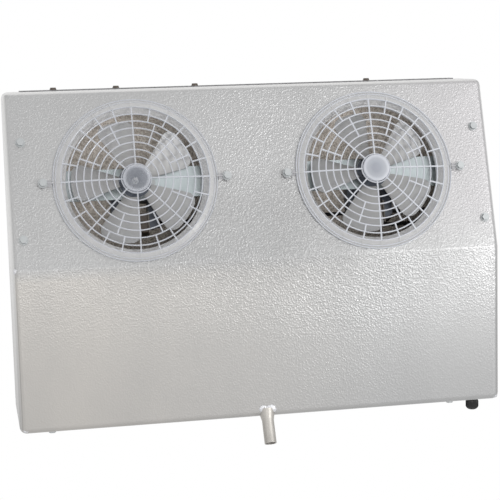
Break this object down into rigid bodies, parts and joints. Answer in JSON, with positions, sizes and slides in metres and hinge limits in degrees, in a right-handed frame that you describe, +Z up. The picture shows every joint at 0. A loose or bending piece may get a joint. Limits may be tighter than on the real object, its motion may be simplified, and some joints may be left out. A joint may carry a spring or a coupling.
{
  "type": "unit cooler",
  "caption": "Thin wall-hung unit cooler: folded aluminium case with a leaning fan face, domed clear guards, axial fans and motors, a fin coil and a drain tube",
  "frame": {"origin": "middle of the four hanger holes, on the back face of the back plate, which lies on the wall", "axes": "+Z up, +X to the right seen from the front, +Y into the wall; the fans face -Y"},
  "size_m": [0.635, 0.1514, 0.4644],
  "materials": {
    "pan_aluminium": "stucco embossed, mill finish",
    "plate_aluminium": "stucco embossed, mill finish",
    "guard_plastic": "clear moulded plastic",
    "blade_aluminium": "plain rolled sheet",
    "zinc_steel": "zinc plated",
    "dark_steel": "dark phosphate",
    "shaft_steel": "ground",
    "lamination_steel": "varnished laminations",
    "rotor_iron": "turned",
    "winding_copper": "enamelled copper wire",
    "bobbin_plastic": "moulded",
    "bracket_zinc": "pressed and zinc plated",
    "fin_aluminium": "thin sheet",
    "sheet_aluminium": "plain sheet",
    "tube_copper": "drawn copper",
    "drain_aluminium": "dull, welded",
    "cap_rubber": "soft black",
    "terminal_plastic": "moulded",
    "lead_plastic": "flexible sheath"
  },
  "bodies": {
    "case": {"front_pan": "pan_aluminium", "back_plate": "plate_aluminium", "plenum_end_left": "sheet_aluminium", "plenum_end_right": "sheet_aluminium", "fan_guard_left": "guard_plastic", "fan_guard_right": "guard_plastic", "guard_screws": "zinc_steel", "side_panel_screws": "zinc_steel", "drain_lip_screws": "zinc_steel", "top_edge_screws": "dark_steel", "drain_tube": "drain_aluminium", "motor_strap_left": "bracket_zinc", "motor_strap_right": "bracket_zinc", "stator_stack_left": "lamination_steel", "stator_stack_right": "lamination_steel", "bobbin_left": "bobbin_plastic", "bobbin_right": "bobbin_plastic", "winding_left": "winding_copper", "winding_right": "winding_copper", "bearing_brackets_left": "bracket_zinc", "bearing_brackets_right": "bracket_zinc", "motor_bolts": "zinc_steel", "motor_spacers": "zinc_steel", "coil_fins": "fin_aluminium", "coil_tube": "tube_copper", "tube_sheet_left": "sheet_aluminium", "tube_sheet_right": "sheet_aluminium", "coil_baffle": "sheet_aluminium", "suction_line": "tube_copper", "liquid_line": "tube_copper", "suction_cap": "cap_rubber", "liquid_cap": "cap_rubber", "terminal_block": "terminal_plastic", "supply_grommet": "cap_rubber", "motor_lead_left": "lead_plastic", "motor_lead_right": "lead_plastic"},
    "fan_left": {"fan_wheel_left": "blade_aluminium", "fan_nut_left": "zinc_steel", "rotor_left": "rotor_iron", "motor_shaft_left": "shaft_steel"},
    "fan_right": {"fan_wheel_right": "blade_aluminium", "fan_nut_right": "zinc_steel", "rotor_right": "rotor_iron", "motor_shaft_right": "shaft_steel"}
  },
  "joints": [
    {"name": "fan_left_spin", "type": "hinge", "parent": "case", "child": "fan_left", "pos_m": [-0.1566, -0.09756, 0.09939], "axis": [0, -0.9553, 0.2957], "continuous": true},
    {"name": "fan_right_spin", "type": "hinge", "parent": "case", "child": "fan_right", "pos_m": [0.1566, -0.09756, 0.09939], "axis": [0, -0.9553, 0.2957], "continuous": true}
  ]
}
